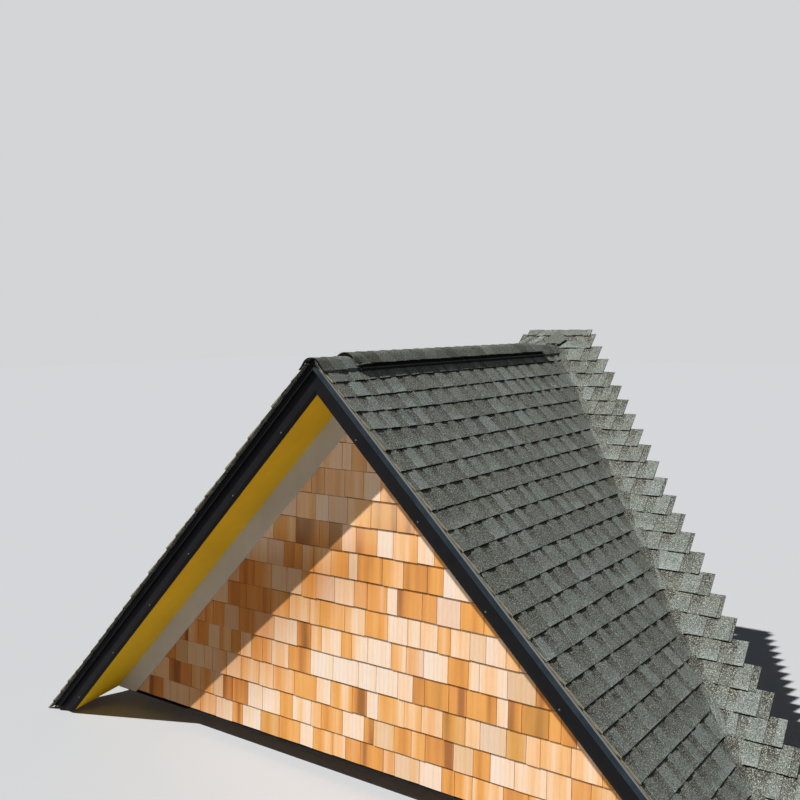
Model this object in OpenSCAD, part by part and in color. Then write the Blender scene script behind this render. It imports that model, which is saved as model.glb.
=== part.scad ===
// Blind gable dormer for a pitched roof: a framed gable wall with no window, faced
// with cedar shingles, under two steep slopes that run back into the roof in valleys.
// Millimetres, +Z up, X along the eaves, +Y into the roof.
// Every piece is drawn from the point where the two slopes would meet at the front
// line, and moved so that the origin is the middle of the sole plate's underside.
// "h" is always a height square to a slope: 0 at the shingle butts, negative below.

/* [Roof form] */
// Rise of the gable slopes and of the steep roof behind, per 12 of run
gable_rise = 12; // [11:0.5:13]
// Rise of the low roof in front of the wall, per 12 of run
low_rise = 4; // [3:0.5:5]
// Ridge length, from the front line of the roof to the steep roof
ridge_run = 3175; // [3100:25:3400]
// Overhang, from the front line of the roof to the wall sheathing
overhang = 405; // [360:5:450]

/* [Framing] */
// Thickness of the sawn timber
lumber_t = 38; // [35:1:45]
// Depth of the rafters, barge rafters and lookouts
rafter_d = 140; // [120:5:150]
// Depth of the wall studs
stud_d = 89; // [80:1:100]
// Depth of the ridge board
ridge_d = 235; // [235:1:286]
// Width of the valley sleepers
sleeper_w = 235; // [235:1:286]
// Spacing of the wall studs
stud_pitch = 406; // [305:1:610]
// Spacing of the jack rafters
rafter_pitch = 610; // [406:1:640]
// Spacing of the lookouts down the slope
lookout_pitch = 550; // [400:10:560]

/* [Boards] */
// Thickness of the wall sheathing
sheathing_t = 11; // [9:1:15]
// Thickness of the roof deck
deck_t = 11; // [11:1:18]
// Thickness of the soffit boards
soffit_t = 8; // [6:1:12]
// Thickness of the building paper and of bent sheet metal
sheet_t = 1.5; // [1:0.5:2]
// Width of the frieze boards
frieze_w = 146; // [120:1:180]
// Distance that the frieze boards stand out from the building paper
frieze_t = 26.5; // [24:0.5:32]

/* [Cedar shingles] */
// Height of each course of wall shingles that shows
cedar_exposure = 178; // [140:1:190]
// Thickness of the double layer of wall shingles at a butt
cedar_t = 18.5; // [15:0.5:22]
// Depth of the step at each butt
cedar_butt = 10; // [8:1:12]
// Gap between the lowest course and the low roof
cedar_gap = 15; // [12:1:40]

/* [Roof shingles] */
// Length of each course of roof shingles that shows
exposure = 143; // [127:1:150]
// Distance from the ridge line down to the first butt
first_butt = 215; // [180:1:250]
// Build-up of the shingles over the deck at a butt
cover = 11; // [10:1:14]
// Depth of the step at each butt
butt = 7; // [5:1:8]
// Distance that each course laps over the valley onto the steep roof
weave_w = 300; // [200:10:450]

/* [Rake trim] */
// Distance that the shingles stand out past the front line of the roof
shingle_nose = 20; // [5:1:25]
// Distance of the fascia's face behind the front line of the roof
fascia_set = 18; // [16:1:30]
// Thickness of the wrapped fascia board
fascia_t = 19; // [15:1:25]
// Height of the drip edge, from its flange down to its foot
drip_face = 55; // [45:1:60]
// Distance that the drip edge's foot is kicked out
drip_kick = 21; // [12:1:24]

/* [Ridge] */
// Width of a ridge cap on each slope
cap_w = 140; // [120:1:145]
// Length of each ridge cap that shows
cap_exposure = 128; // [110:1:143]
// Thickness of a ridge cap
cap_t = 4; // [3:0.5:6]
// Distance from the front edge to the ridge vent
vent_start = 318; // [300:1:330]
// Length of the front ridge vent
front_vent_len = 1220; // [1100:10:1220]
// Length of the rear ridge vent
rear_vent_len = 1220; // [1100:10:1220]
// Height of the ridge vent over the shingles
vent_h = 22; // [18:1:28]
// Spacing of the vent's fins
fin_pitch = 30; // [20:1:40]
// Width of the slot cut in the deck on each side of the ridge board
slot_w = 25; // [20:1:35]

/* [Hidden] */

// Pitches, and a length longer than any piece
pitch = atan(gable_rise / 12);
low_pitch = atan(low_rise / 12);
reach = 2 * ridge_run;

// Heights of the layers under a slope
deck_h = -cover;
rafter_h = deck_h - deck_t;
soffit_h = rafter_h - rafter_d;
soffit_face_h = soffit_h - soffit_t;
frieze_foot_h = soffit_face_h - frieze_w;

// Distances of the layers behind the front line
drip_y = fascia_set - sheet_t - 2;
barge_y = fascia_set + fascia_t;
ladder_y = barge_y + lumber_t;
wall_y = overhang;
paper_y = wall_y - sheet_t;
cedar_y = paper_y - cedar_t;
stud_y = wall_y + sheathing_t;
stud_back_y = stud_y + stud_d;
break_y = stud_back_y + 5;

// The roof that the dormer stands on: a low slope in front of the break and a steep
// one behind. Both heights are at a distance g square to the roof's own deck.
function steep_z(y, g) =
    (y - ridge_run) * tan(pitch) - (cover - g) / cos(pitch);
function low_z(y, g) =
    steep_z(break_y, 0) + (y - break_y) * tan(low_pitch) + g / cos(low_pitch);
function bend_y(g_low, g_steep) =
    break_y + (g_low / cos(low_pitch) - g_steep / cos(pitch))
    / (tan(pitch) - tan(low_pitch));

// Clearance of the cut ends of the rake trim over the low roof's shingles
foot_gap = 8;
foot_g = cover + foot_gap;

// The mount: the middle of the sole plate's underside
seat_y = (stud_y + stud_back_y) / 2;
seat_z = low_z(seat_y, 0);

ridge_top_z = rafter_h / cos(pitch) - lumber_t / 2 * tan(pitch);
ridge_tail_z = soffit_h / cos(pitch) + 6;

vent_join = vent_start + front_vent_len + 3;
vent_end = vent_join + rear_vent_len;

// Height of the base flashing's leg on the wall, and width of its leg on the roof
flashing_leg = 100;
flashing_toe = 28;
// Inner radius of a ridge cap's bend over the bare ridge, and of the rounder bend
// over the vent, which has the same centre and leaves the wings shorter
cap_bend_r = 68;
vent_bend_r = cap_bend_r + vent_h;
vent_cap_w = cap_w - vent_h * pitch * PI / 180;
// Top of the drip edge's mitre, clear of the caps' bend
mitre_z = cap_bend_r * (1 - 1 / cos(pitch)) - 4;
// Rise of each cap to its butt
cap_lift = 6;
// Width of the drip edge's flange on the deck
drip_flange = 50;
// Distance that the slot for the vent stops short of each end of the vent
slot_inset = 2 * exposure;
// Half the gap left between the two top courses, where the caps leave the slopes
ridge_gap = cap_bend_r * sin(pitch);
// Length of the steep roof's top course, past the end of the ridge
weave_head = 150;

// Profile across a slope, (y, h), run down the right-hand slope from over the ridge
module down_slope() {
    over = 400;
    rotate([0, pitch, 0]) translate([-over, 0, 0]) rotate([90, 0, 90])
        linear_extrude(reach) children();
}

// Profile down the right-hand slope, (distance down, h), run from front to back
module along_ridge(front, back) {
    translate([0, back, 0]) rotate([0, pitch, 0]) rotate([90, 0, 0])
        linear_extrude(back - front) children();
}

// Side view, (y, z), run along X between two planes
module along_eaves(x_from, x_to) {
    translate([x_from, 0, 0]) rotate([90, 0, 90])
        linear_extrude(x_to - x_from) children();
}

// Everything over the roof that is past x_from and under top
module over_roof(g_low, g_steep, x_from = 0, top = 600) {
    bend = bend_y(g_low, g_steep);
    front = -100;
    back = ridge_run + 400;
    intersection() {
        children();
        along_eaves(x_from, reach)
            polygon([
                [front, low_z(front, g_low)],
                [bend, low_z(bend, g_low)],
                [back, steep_z(back, g_steep)],
                [back, top],
                [front, top]
            ]);
    }
}

// A prism under both gable slopes at height h, from front to back
module under_slopes(h, front, back) {
    apex = h / cos(pitch);
    half = ridge_run;
    translate([0, back, 0]) rotate([90, 0, 0]) linear_extrude(back - front)
        polygon([[-half, apex - half * tan(pitch)], [0, apex],
            [half, apex - half * tan(pitch)]]);
}

module left_side() {
    mirror([1, 0, 0]) children();
}

// Sole plate: one board flat on the low deck, its edges ripped plumb and its ends
// cut to the slopes
module sole_plate() {
    color("burlywood") intersection() {
        along_eaves(-reach, reach)
            polygon([
                [stud_y, low_z(stud_y, 0)],
                [stud_back_y, low_z(stud_back_y, 0)],
                [stud_back_y, low_z(stud_back_y, lumber_t)],
                [stud_y, low_z(stud_y, lumber_t)]
            ]);
        under_slopes(rafter_h, stud_y - 1, stud_back_y + 1);
    }
}

// Studs: their feet cut to the sole plate and their heads to the end rafters
module gable_studs() {
    shortest = 150;
    head_room = soffit_h / cos(pitch) - low_z(stud_y, lumber_t);
    count = floor((head_room - shortest) / tan(pitch) / stud_pitch);
    color("burlywood") difference() {
        intersection() {
            for (i = [-count : count])
                along_eaves(i * stud_pitch - lumber_t / 2, i * stud_pitch + lumber_t / 2)
                    polygon([
                        [stud_y, low_z(stud_y, lumber_t)],
                        [stud_back_y, low_z(stud_back_y, lumber_t)],
                        [stud_back_y, 0],
                        [stud_y, 0]
                    ]);
            under_slopes(soffit_h, stud_y - 1, stud_back_y + 1);
        }
        ridge_blank();
    }
}

// Sheathing: up to the underside of the deck, notched for the ridge board
module wall_sheathing() {
    color("tan") difference() {
        over_roof(0, 0, -reach)
            under_slopes(rafter_h, wall_y, stud_y);
        translate([-lumber_t / 2, wall_y - 1, ridge_tail_z])
            cube([lumber_t, sheathing_t + 2, ridge_d]);
    }
}

// Building paper over the sheathing, from the flashing up to the soffit
module building_paper() {
    flashing_top = low_z(wall_y, cover) + flashing_leg;
    color("gainsboro") intersection() {
        under_slopes(soffit_face_h, paper_y, wall_y);
        translate([-reach, paper_y, flashing_top]) cube([2 * reach, sheet_t, reach]);
    }
}

// Base flashing: a bent strip, one leg up the wall and one out over the low roof
module base_flashing() {
    toe_y = wall_y - flashing_toe;
    color("black") intersection() {
        along_eaves(-reach, reach)
            polygon([
                [wall_y, low_z(wall_y, cover - sheet_t)],
                [wall_y, low_z(wall_y, cover) + flashing_leg],
                [paper_y, low_z(wall_y, cover) + flashing_leg],
                [paper_y, low_z(paper_y, cover)],
                [toe_y, low_z(toe_y, cover)],
                [toe_y, low_z(toe_y, cover - sheet_t)]
            ]);
        under_slopes(soffit_face_h, toe_y - 1, wall_y);
    }
}

// Cedar shingles: level courses, each butt standing out over the one below
module cedar_siding() {
    foot = low_z(cedar_y, cover) + cedar_gap;
    count = ceil((-frieze_foot_h - foot) / cedar_exposure);
    steps = [for (k = [0 : count]) each [
        [cedar_y, foot + k * cedar_exposure],
        [cedar_y + cedar_butt, foot + (k + 1) * cedar_exposure]
    ]];
    head = foot + (count + 1) * cedar_exposure;
    color("peru") intersection() {
        along_eaves(-reach, reach)
            polygon(concat([[paper_y, foot]], steps, [[paper_y, head]]));
        under_slopes(frieze_foot_h, cedar_y - 1, paper_y);
    }
}

// Ridge board, its tail cut shallow over the overhang
module ridge_blank() {
    along_eaves(-lumber_t / 2, lumber_t / 2)
        polygon([
            [ladder_y, ridge_top_z],
            [ladder_y, ridge_tail_z],
            [stud_y, ridge_tail_z],
            [stud_y, ridge_top_z - ridge_d],
            [ridge_run, ridge_top_z - ridge_d],
            [ridge_run, ridge_top_z]
        ]);
}

module ridge_board() {
    color("burlywood") over_roof(0, lumber_t, -reach) ridge_blank();
}

// Rafter: square-edged board down the slope, cut plumb on the ridge board and, in a
// compound cut, flat on what it stands on
module rafter(y, g_low, g_steep) {
    over_roof(g_low, g_steep, lumber_t / 2) down_slope()
        translate([y, soffit_h]) square([lumber_t, rafter_d]);
}

module end_rafter() {
    color("burlywood") rafter(stud_y, lumber_t, 0);
}

module jack_rafters() {
    last = floor((ridge_run - stud_y - 2 * rafter_d) / rafter_pitch);
    color("burlywood") for (k = [1 : last])
        rafter(stud_y + k * rafter_pitch, 0, lumber_t);
}

// Valley sleeper: a board flat on the steep deck along the valley, its outer edge
// bevelled under the dormer's deck, its head mitred at the ridge
module valley_sleeper() {
    toe = ridge_run - deck_t / cos(pitch) / tan(pitch);
    band = sleeper_w * sqrt(1.5);
    color("burlywood") intersection() {
        along_eaves(0, reach)
            polygon([
                [break_y, steep_z(break_y, 0)],
                [toe, steep_z(toe, 0)],
                [toe, steep_z(toe, lumber_t)],
                [break_y, steep_z(break_y, lumber_t)]
            ]);
        translate([0, 0, -reach]) linear_extrude(reach)
            polygon([[0, toe], [0, toe - band], [reach, toe - band - reach],
                [reach, toe - reach]]);
        under_slopes(rafter_h, 0, ridge_run);
    }
}

// Lookouts: short blocks between the barge rafter and the sheathing, square to the
// slope
module lookouts() {
    first = 290;
    count = 6;
    color("burlywood") for (k = [0 : count])
        rotate([0, pitch, 0])
            translate([first + k * lookout_pitch, ladder_y, soffit_h])
                cube([lumber_t, wall_y - ladder_y, rafter_d]);
}

// A straight strip of the rake: its section is (y, h), its head is mitred at the
// ridge and its foot is cut to the low roof
module rake_strip(g_low) {
    over_roof(g_low, g_low) down_slope() children();
}

module barge_rafter() {
    color("burlywood") rake_strip(foot_g)
        translate([barge_y, soffit_h]) square([lumber_t, rafter_d]);
}

module frieze() {
    color("white") rake_strip(cover)
        translate([paper_y - frieze_t, frieze_foot_h]) square([frieze_t, frieze_w]);
}

module soffit() {
    color([0.77, 0.63, 0.13]) rake_strip(foot_g)
        translate([barge_y, soffit_face_h]) square([wall_y - barge_y, soffit_t]);
}

// Fascia: a board wrapped in sheet, the wrap's lower edge bent back to the soffit
module fascia() {
    hem_h = 20;
    hem_set = 8;
    color([0.08, 0.08, 0.09]) rake_strip(foot_g)
        polygon([
            [fascia_set, rafter_h],
            [fascia_set, soffit_face_h + hem_h],
            [fascia_set + hem_set, soffit_face_h],
            [barge_y, soffit_face_h],
            [barge_y, rafter_h]
        ]);
}

// Roof deck: from the ridge board down to the roof it stands on, cut back for the vent
module roof_deck() {
    color("tan") difference() {
        over_roof(0, 0, lumber_t / 2) down_slope()
            translate([fascia_set, rafter_h]) square([ridge_run, deck_t]);
        vent_slot();
    }
}

// The slot that the vent covers, right through the deck on each side of the ridge board
module vent_slot() {
    half = lumber_t / 2 + slot_w;
    translate([-half, vent_start + slot_inset, ridge_top_z - 2 * half])
        cube([2 * half, vent_end - vent_start - 2 * slot_inset, reach]);
}

// Drip edge: a flange on the deck, a face just off the fascia and a foot kicked out
// from it, the head mitred under the caps
module drip_edge() {
    flange_y = drip_y + drip_flange;
    top_h = deck_h + sheet_t;
    foot_h = top_h - drip_face;
    bend_h = foot_h + drip_kick;
    color([0.08, 0.08, 0.09]) over_roof(foot_g, foot_g, 0, mitre_z) down_slope()
        polygon([
            [flange_y, top_h],
            [drip_y, top_h],
            [drip_y, bend_h],
            [drip_y - drip_kick, foot_h],
            [drip_y - drip_kick + sheet_t * sqrt(2), foot_h],
            [drip_y + sheet_t, bend_h - sheet_t * (sqrt(2) - 1)],
            [drip_y + sheet_t, deck_h],
            [flange_y, deck_h]
        ]);
}

// Shingles on one slope: each course rises to its butt, and ends over the valley
module shingles() {
    slope_length = -low_z(0, cover) / sin(pitch);
    count = ceil((slope_length - first_butt) / exposure);
    steps = [for (k = [0 : count]) each [
        [first_butt + k * exposure, 0],
        [first_butt + k * exposure, -butt]
    ]];
    foot = first_butt + count * exposure;
    color("dimgray") difference() {
        over_roof(cover, 0, ridge_gap) intersection() {
            along_ridge(-shingle_nose, ridge_run)
                polygon(concat([[-exposure, deck_h], [-exposure, 0]], steps,
                    [[foot, deck_h]]));
            translate([0, 0, -reach]) linear_extrude(2 * reach)
                polygon([[0, -shingle_nose], [ridge_run + shingle_nose, -shingle_nose],
                    [0, ridge_run]]);
        }
        down_slope()
            translate([drip_y, deck_h]) square([drip_flange, sheet_t]);
        vent_slot();
    }
}

// Valley weave: the same courses carried over the valley onto the steep roof, each
// with its own square end
function on_steep(s, h) = [
    ridge_run - s * cos(pitch) - h * sin(pitch),
    h * cos(pitch) - s * sin(pitch)
];
module valley_weave() {
    count = ceil((ridge_run - break_y) / cos(pitch) / exposure);
    steps = [for (k = [0 : count]) each [
        on_steep(first_butt + k * exposure, 0),
        on_steep(first_butt + k * exposure, -butt)
    ]];
    ends = [for (k = [0 : count])
        let (run = (first_butt + k * exposure) * cos(pitch),
            upper = k == 0 ? -weave_head : run - exposure * cos(pitch))
        each [[run + weave_w, ridge_run - upper], [run + weave_w, ridge_run - run]]
    ];
    last = (first_butt + count * exposure) * cos(pitch);
    color("dimgray") over_roof(0, 0) intersection() {
        along_eaves(0, reach)
            polygon(concat([on_steep(-weave_head, deck_h), on_steep(-weave_head, 0)],
                steps, [on_steep(last / cos(pitch), deck_h)]));
        translate([0, 0, -reach]) linear_extrude(2 * reach)
            polygon(concat([[0, ridge_run], [0, ridge_run + weave_head]], ends,
                [[last, ridge_run - last]]));
    }
}

// A bent strip across the ridge, t thick over height h: two straight wings, w wide,
// and a round back of inner radius r
module bent_section(w, h, t, r) {
    mid_z = (h - r) / cos(pitch);
    function wing(side, height) = [
        side * (w * cos(pitch) + height * sin(pitch)),
        height * cos(pitch) - w * sin(pitch)
    ];
    function back(turn, radius) = [radius * sin(turn), mid_z + radius * cos(turn)];
    polygon(concat(
        [wing(-1, h), wing(-1, h + t)],
        [for (a = [-1 : 0.25 : 1]) back(a * pitch, r + t)],
        [wing(1, h + t), wing(1, h)],
        [for (a = [-1 : 0.25 : 1]) back(-a * pitch, r)]
    ));
}

// Ridge vent: a bent top sheet over rows of fins, a wall at each end, and along each
// outer edge a flange with a baffle as high as the caps
module ridge_vent(start, length) {
    end = start + length;
    sheet = 3;
    fin_depth = 16;
    edge = vent_cap_w - 12;
    rail = edge - fin_depth;
    toe = cap_w + 20;
    baffle_h = vent_h + cap_t;
    color([0.06, 0.06, 0.07]) {
        translate([0, end, 0]) rotate([90, 0, 0]) linear_extrude(length)
            bent_section(edge, vent_h - sheet, sheet, vent_bend_r - sheet);
        for (y = [start, end - sheet])
            translate([0, y + sheet, 0]) rotate([90, 0, 0]) linear_extrude(sheet)
                bent_section(rail + 1, 0, vent_h - 1, cap_bend_r);
        for (side = [0, 1]) mirror([side, 0, 0]) {
            along_ridge(start, end) {
                translate([rail, 0]) square([toe - rail, sheet]);
                translate([toe - sheet, 0]) square([sheet, baffle_h]);
            }
            for (y = [start + fin_pitch : fin_pitch : end - fin_pitch / 2])
                along_ridge(y, y + sheet)
                    polygon([[rail, 1], [toe - 1, 1], [edge, vent_h - 1],
                        [rail, vent_h - 1]]);
        }
    }
}

// A run of caps: an under-layer, and caps that each rise to a butt at the front
module cap_run(start, end, w, h, r) {
    overlay = 0.5;
    count = round((end - start) / cap_exposure);
    step = (end - start) / count;
    translate([0, end, 0]) rotate([90, 0, 0]) linear_extrude(end - start)
        bent_section(w, h, cap_t, r);
    for (k = [1 : count])
        translate([0, start + k * step, 0]) rotate([-atan(cap_lift / step), 0, 0])
            rotate([90, 0, 0]) linear_extrude(step)
                bent_section(w, h, cap_t + overlay, r);
}

module ridge_caps_front() {
    nose = shingle_nose + 6;
    color("dimgray") cap_run(-nose, vent_start, cap_w, 0, cap_bend_r);
}

module ridge_caps_on_vent() {
    color("dimgray") cap_run(vent_start, vent_end, vent_cap_w, vent_h, vent_bend_r);
}

// Saddle cap: a diamond, its lower half bent over the last caps and its upper half
// turned up onto the steep roof
module saddle_cap() {
    fore = 95;
    side = 110;
    up = 140;
    intersection() {
        translate([0, 0, -reach]) linear_extrude(2 * reach)
            polygon([[0, ridge_run - fore], [side, ridge_run],
                [0, ridge_run + up * cos(pitch)], [-side, ridge_run]]);
        union() {
            over_roof(cover, cover, -reach)
                translate([0, ridge_run + fore, 0]) rotate([90, 0, 0])
                    linear_extrude(2 * fore)
                        bent_section(cap_w, cap_t + cap_lift, cap_t, cap_bend_r);
            along_eaves(-side, side)
                polygon([on_steep(-up, 0), on_steep(fore, 0),
                    on_steep(fore, 2 * cap_t), on_steep(-up, cap_t)]);
        }
    }
}

// The last caps run into the steep roof, under the saddle cap
module ridge_caps_rear() {
    past_ridge = 60;
    color("dimgray") {
        over_roof(cover, cover, -reach)
            cap_run(vent_end, ridge_run + past_ridge, cap_w, 0, cap_bend_r);
        saddle_cap();
    }
}

module on_seat() {
    translate([0, -seat_y, -seat_z]) children();
}

on_seat() sole_plate();
on_seat() gable_studs();
on_seat() wall_sheathing();
on_seat() building_paper();
on_seat() base_flashing();
on_seat() cedar_siding();
on_seat() ridge_board();
on_seat() left_side() end_rafter();  // end_rafter_left
on_seat() end_rafter();  // end_rafter_right
on_seat() left_side() jack_rafters();  // jack_rafters_left
on_seat() jack_rafters();  // jack_rafters_right
on_seat() left_side() valley_sleeper();  // valley_sleeper_left
on_seat() valley_sleeper();  // valley_sleeper_right
on_seat() left_side() lookouts();  // lookouts_left
on_seat() lookouts();  // lookouts_right
on_seat() left_side() barge_rafter();  // barge_rafter_left
on_seat() barge_rafter();  // barge_rafter_right
on_seat() left_side() frieze();  // frieze_left
on_seat() frieze();  // frieze_right
on_seat() left_side() soffit();  // soffit_left
on_seat() soffit();  // soffit_right
on_seat() left_side() fascia();  // fascia_left
on_seat() fascia();  // fascia_right
on_seat() left_side() roof_deck();  // roof_deck_left
on_seat() roof_deck();  // roof_deck_right
on_seat() left_side() drip_edge();  // drip_edge_left
on_seat() drip_edge();  // drip_edge_right
on_seat() left_side() shingles();  // shingles_left
on_seat() shingles();  // shingles_right
on_seat() left_side() valley_weave();  // valley_weave_left
on_seat() valley_weave();  // valley_weave_right
on_seat() ridge_vent(vent_start, front_vent_len);  // ridge_vent_front
on_seat() ridge_vent(vent_join, rear_vent_len);  // ridge_vent_rear
on_seat() ridge_caps_front();
on_seat() ridge_caps_on_vent();
on_seat() ridge_caps_rear();
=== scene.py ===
import math

import bmesh
import bpy
from mathutils import Matrix, Vector


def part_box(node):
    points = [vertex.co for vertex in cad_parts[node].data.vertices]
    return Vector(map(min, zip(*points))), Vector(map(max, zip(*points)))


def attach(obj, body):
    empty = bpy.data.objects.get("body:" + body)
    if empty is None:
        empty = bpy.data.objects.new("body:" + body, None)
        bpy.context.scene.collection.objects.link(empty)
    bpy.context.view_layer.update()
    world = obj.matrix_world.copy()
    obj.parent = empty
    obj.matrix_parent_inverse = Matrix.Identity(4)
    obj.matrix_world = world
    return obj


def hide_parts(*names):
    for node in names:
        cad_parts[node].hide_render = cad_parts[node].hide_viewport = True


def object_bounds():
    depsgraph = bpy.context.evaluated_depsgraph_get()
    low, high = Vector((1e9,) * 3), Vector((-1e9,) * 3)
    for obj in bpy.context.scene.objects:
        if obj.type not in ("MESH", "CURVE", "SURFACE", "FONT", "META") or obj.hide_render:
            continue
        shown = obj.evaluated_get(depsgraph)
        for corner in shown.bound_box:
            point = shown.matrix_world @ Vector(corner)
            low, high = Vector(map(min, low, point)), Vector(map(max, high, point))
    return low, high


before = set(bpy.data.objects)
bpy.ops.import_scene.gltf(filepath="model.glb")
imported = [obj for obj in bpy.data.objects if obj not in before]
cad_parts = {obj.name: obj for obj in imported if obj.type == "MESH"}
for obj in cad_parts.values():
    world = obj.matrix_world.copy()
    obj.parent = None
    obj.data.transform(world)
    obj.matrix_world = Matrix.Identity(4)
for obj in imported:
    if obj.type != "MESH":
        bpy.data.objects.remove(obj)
cad_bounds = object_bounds()

# Camera, lamps and floor. The camera stands off the right-hand corner, just above the
# ridge, and looks back along the front wall, almost level. One lamp stands high in
# front and to the left, so the overhang's shade runs down the wall.
scene = bpy.context.scene
scene.view_settings.view_transform = "Standard"

camera_place = Vector((3.7507, -4.7371, 2.8820))
camera_turn = math.radians(36.0417)
camera_dip = math.radians(4.6996)
camera_roll = math.radians(0.6843)
camera = bpy.data.objects.new("camera", bpy.data.cameras.new("camera"))
camera.data.sensor_width = 36.0
camera.data.lens = 42.577
camera.matrix_world = (
    Matrix.Translation(camera_place)
    @ Matrix.Rotation(camera_turn, 4, "Z")
    @ Matrix.Rotation(math.pi / 2 - camera_dip, 4, "X")
    @ Matrix.Rotation(-camera_roll, 4, "Z")
)
scene.collection.objects.link(camera)
scene.camera = camera

lamp_from = Vector((-0.30, -0.49, 0.82))
lamp = bpy.data.objects.new("lamp", bpy.data.lights.new("lamp", "SUN"))
lamp.data.energy = 4.75
lamp.data.angle = math.radians(0.8)
lamp.data.color = (1.0, 0.99, 0.965)
lamp.matrix_world = lamp_from.to_track_quat("Z", "Y").to_matrix().to_4x4()
scene.collection.objects.link(lamp)


def seen_directly(tree):
    """1 for what the camera sees, also in a mirror or through glass; 0 for the light
    that bounces."""
    rays = tree.nodes.new("ShaderNodeLightPath")
    seen = rays.outputs["Is Camera Ray"]
    for other in ("Is Glossy Ray", "Is Transmission Ray"):
        either = tree.nodes.new("ShaderNodeMath")
        either.operation = "MAXIMUM"
        tree.links.new(seen, either.inputs[0])
        tree.links.new(rays.outputs[other], either.inputs[1])
        seen = either.outputs[0]
    return seen


room_light = (0.78, 0.89, 1.0, 1.0)
room_strength = 0.08
backdrop_colour = (0.655, 0.665, 0.675, 1.0)
room = bpy.data.worlds.new("room")
scene.world = room
room.use_nodes = True
room_tree = room.node_tree
room_tree.nodes.clear()
fill = room_tree.nodes.new("ShaderNodeBackground")
fill.inputs["Color"].default_value = room_light
fill.inputs["Strength"].default_value = room_strength
backdrop = room_tree.nodes.new("ShaderNodeBackground")
backdrop.inputs["Color"].default_value = backdrop_colour
room_mix = room_tree.nodes.new("ShaderNodeMixShader")
room_tree.links.new(seen_directly(room_tree), room_mix.inputs[0])
room_tree.links.new(fill.outputs[0], room_mix.inputs[1])
room_tree.links.new(backdrop.outputs[0], room_mix.inputs[2])
room_out = room_tree.nodes.new("ShaderNodeOutputWorld")
room_tree.links.new(room_mix.outputs[0], room_out.inputs[0])

# the floor gives back a little less light than the grey it is shown in
floor_bounce = (0.42, 0.425, 0.43, 1.0)
floor_shown = (0.507, 0.52, 0.543, 1.0)
floor_reach = 60.0
floor_gap = 0.002
floor_z = cad_bounds[0][2] - floor_gap
floor_mesh = bpy.data.meshes.new("floor")
floor_mesh.from_pydata(
    [(x * floor_reach, y * floor_reach, floor_z)
     for x, y in ((-1, -1), (1, -1), (1, 1), (-1, 1))],
    [], [(0, 1, 2, 3)])
floor = bpy.data.objects.new("floor", floor_mesh)
scene.collection.objects.link(floor)
floor_paint = bpy.data.materials.new("floor_paint")
floor_paint.use_nodes = True
floor_tree = floor_paint.node_tree
floor_shader = floor_tree.nodes["Principled BSDF"]
floor_colour = floor_tree.nodes.new("ShaderNodeMix")
floor_colour.data_type = "RGBA"
floor_colour.inputs["A"].default_value = floor_bounce
floor_colour.inputs["B"].default_value = floor_shown
floor_tree.links.new(seen_directly(floor_tree), floor_colour.inputs["Factor"])
floor_tree.links.new(floor_colour.outputs["Result"], floor_shader.inputs["Base Color"])
floor_shader.inputs["Roughness"].default_value = 1.0
floor_shader.inputs["Specular IOR Level"].default_value = 0.0
floor_mesh.materials.append(floor_paint)


# Framing timber. Rafters, studs, ridge board, sleepers and blocks are sawn softwood,
# planed on four sides and nailed together. The grain runs along each board, with
# fine fibres and a few knots.
class Wire:
    """An output in a node tree. Arithmetic on it adds the nodes that work it out."""

    def __init__(self, tree, socket):
        self.tree, self.socket = tree, socket

    def out(self, name):
        return Wire(self.tree, self.socket.node.outputs[name])

    def math(self, operation, *others):
        return put(self.tree, "ShaderNodeMath", {i: v for i, v in enumerate(others, 1)},
                   first=self, operation=operation)

    def __add__(self, other):
        return self.math("ADD", other)

    __radd__ = __add__

    def __sub__(self, other):
        return self.math("SUBTRACT", other)

    def __rsub__(self, other):
        return self.math("MULTIPLY", -1.0) + other

    def __mul__(self, other):
        return self.math("MULTIPLY", other)

    __rmul__ = __mul__

    def __truediv__(self, other):
        return self.math("DIVIDE", other)

    def over(self, low, high, to_low=0.0, to_high=1.0):
        """Runs from to_low to to_high while this runs from low to high."""
        return put(self.tree, "ShaderNodeMapRange",
                   {"From Min": low, "From Max": high, "To Min": to_low,
                    "To Max": to_high}, first=self)

    def parts(self):
        """The x, y and z of a vector."""
        x = put(self.tree, "ShaderNodeSeparateXYZ", first=self)
        return x, x.out("Y"), x.out("Z")


def feed(tree, slot, value):
    if isinstance(value, Wire):
        tree.links.new(value.socket, slot)
    else:
        slot.default_value = value


def put(tree, kind, feeds=None, first=None, give=0, **settings):
    """Adds a node, sets it up, feeds its inputs, and returns one of its outputs."""
    node = tree.nodes.new(kind)
    for name, value in settings.items():
        setattr(node, name, value)
    if first is not None:
        feed(tree, node.inputs[0], first)
    for name, value in (feeds or {}).items():
        feed(tree, node.inputs[name], value)
    return Wire(tree, node.outputs[give])


def vector(tree, x, y, z):
    return put(tree, "ShaderNodeCombineXYZ", {"X": x, "Y": y, "Z": z})


def paint(red, green, blue):
    """A colour as a paint chart gives it, 0 to 255, made linear."""
    def linear(value):
        value /= 255
        return value / 12.92 if value <= 0.04045 else ((value + 0.055) / 1.055) ** 2.4
    return linear(red), linear(green), linear(blue), 1.0


def blend(tree, share, low, high, how="MIX"):
    """Mixes two colours by share."""
    return put(tree, "ShaderNodeMix", {0: share, 6: low, 7: high}, give=2,
               data_type="RGBA", blend_type=how)


def chart(tree, place, *stops):
    """Reads a colour from a row of (place, colour) stops."""
    wire = put(tree, "ShaderNodeValToRGB", first=place)
    ramp = wire.socket.node.color_ramp
    while len(ramp.elements) < len(stops):
        ramp.elements.new(1.0)
    for element, (position, colour) in zip(ramp.elements, stops):
        element.position = position
        element.color = colour
    return wire


def noise(tree, where, scale, detail=2.0, rough=0.5):
    return put(tree, "ShaderNodeTexNoise", {"Vector": where, "Scale": scale,
                                            "Detail": detail, "Roughness": rough})


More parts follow.
